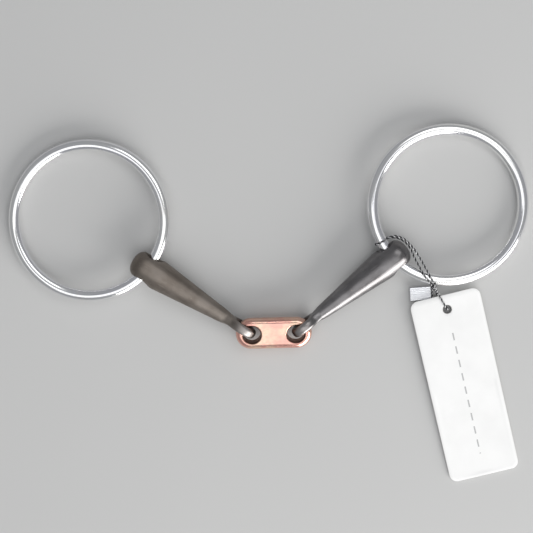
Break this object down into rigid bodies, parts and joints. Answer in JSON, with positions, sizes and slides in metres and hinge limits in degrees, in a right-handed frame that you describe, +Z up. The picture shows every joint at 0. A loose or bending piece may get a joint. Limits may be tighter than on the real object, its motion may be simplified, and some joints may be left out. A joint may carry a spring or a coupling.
{
  "type": "snaffle bit",
  "caption": "Double-jointed loose-ring snaffle bit with tapered dark cannons, a copper lozenge link and polished rings, lying flat with a blank hang tag corded to one ring.",
  "frame": {"origin": "under the middle of the bit's own box, tag left out, at the height of the table it lies on", "axes": "+X from the left ring to the right ring, +Z up from the table, +Y towards the rings' side of the link"},
  "size_m": [0.2244, 0.1584, 0.0132],
  "materials": {
    "ring_steel": "polished",
    "sweet_iron": "blued, satin",
    "copper_alloy": "polished",
    "card": "smooth, coated",
    "cord": "twisted, black with a silver ply",
    "seal_metal": "ribbed, satin"
  },
  "bodies": {
    "centre_link": {"centre_link": "copper_alloy"},
    "left_cannon": {"left_cannon": "sweet_iron"},
    "right_cannon": {"right_cannon": "sweet_iron"},
    "left_ring": {"left_ring": "ring_steel"},
    "right_ring": {"right_ring": "ring_steel", "tag_cord": "cord", "tag_seal": "seal_metal"},
    "tag_card": {"tag_card": "card"}
  },
  "joints": [
    {"name": "left_cannon_fold", "type": "hinge", "parent": "centre_link", "child": "left_cannon", "pos_m": [-0.00713, -0.04196, 0.00588], "axis": [0.0045, -0.1736, 0.9848], "range_deg": [-26, 94]},
    {"name": "right_cannon_fold", "type": "hinge", "parent": "centre_link", "child": "right_cannon", "pos_m": [0.01186, -0.04147, 0.00588], "axis": [0.0045, -0.1736, 0.9848], "range_deg": [-97, 23]},
    {"name": "left_ring_swing", "type": "hinge", "parent": "left_cannon", "child": "left_ring", "pos_m": [-0.05222, -0.01335, 0.0066], "axis": [0.5358, 0.8443, 0], "range_deg": [-86, 93]},
    {"name": "right_ring_swing", "type": "hinge", "parent": "right_cannon", "child": "right_ring", "pos_m": [0.05382, -0.00844, 0.0066], "axis": [0.6184, -0.7859, 0], "range_deg": [-86, 93]},
    {"name": "tag_card_swing", "type": "hinge", "parent": "right_ring", "child": "tag_card", "pos_m": [0.07782, -0.03184, 0.0031], "axis": [0.0087, -0.0356, 0.9993], "range_deg": [-20, 13]}
  ]
}
